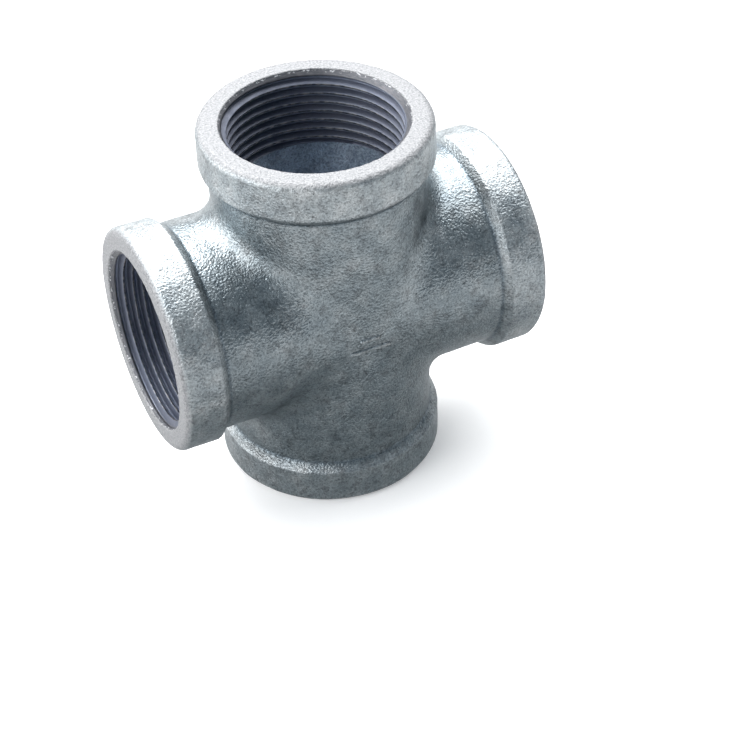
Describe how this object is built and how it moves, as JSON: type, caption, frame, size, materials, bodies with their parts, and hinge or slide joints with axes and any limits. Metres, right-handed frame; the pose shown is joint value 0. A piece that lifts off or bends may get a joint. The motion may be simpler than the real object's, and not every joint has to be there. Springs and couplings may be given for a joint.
{
  "type": "pipe cross fitting",
  "caption": "Banded malleable-iron pipe cross that joins threaded pipes at right angles in one plane, with an internal parallel pipe thread in every outlet.",
  "frame": {"origin": "where the two bores cross, which is the centre of the fitting", "axes": "+Z out of the top outlet, +X out of the right outlet, +Y away from the front; the four outlets lie in the XZ plane"},
  "size_m": [0.09, 0.0526, 0.09],
  "materials": {
    "galvanised_iron": "hot-dip galvanised, lightly rough, with dull cut threads"
  },
  "bodies": {
    "root": {"hub": "galvanised_iron", "top_outlet": "galvanised_iron", "right_outlet": "galvanised_iron", "bottom_outlet": "galvanised_iron", "left_outlet": "galvanised_iron"}
  },
  "joints": []
}
